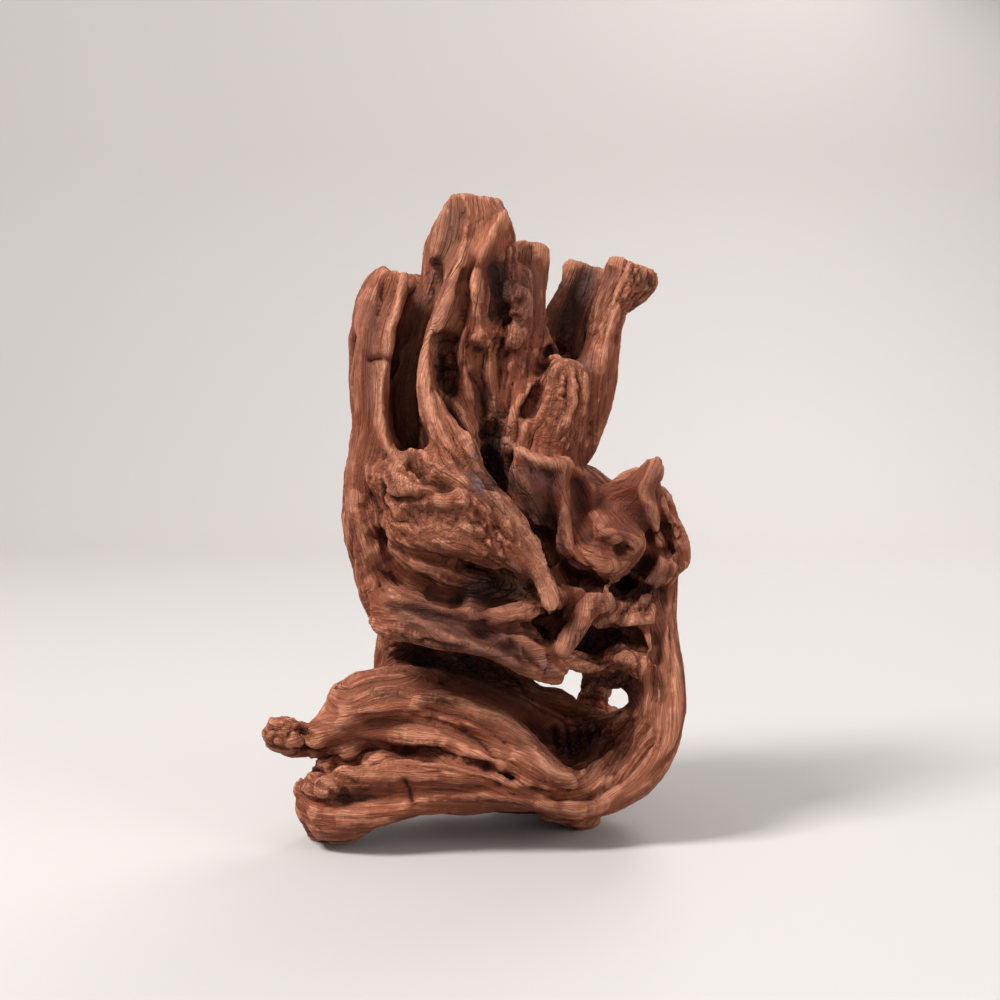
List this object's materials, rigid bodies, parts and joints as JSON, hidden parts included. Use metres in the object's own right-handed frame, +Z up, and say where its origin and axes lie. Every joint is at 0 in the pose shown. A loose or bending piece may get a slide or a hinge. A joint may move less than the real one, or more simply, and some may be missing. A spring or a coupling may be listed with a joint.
{
  "type": "aquarium driftwood",
  "caption": "Upright piece of gnarled red root wood for an aquarium: a hollow fluted trunk with a spire and a branch over a curled log, with a slot between them.",
  "frame": {"origin": "on the table under the middle of the piece's box", "axes": "+Z up from the table, -Y towards the front with the lobe and the cupped wing, +X towards the branch and the curled end of the log"},
  "size_m": [0.1168, 0.0864, 0.1767],
  "materials": {
    "wood": "dry weathered red-brown wood, matt, grooved along its grain, with pale worn ridges and dark charred hollows"
  },
  "bodies": {
    "root": {"driftwood": "wood"}
  },
  "joints": []
}
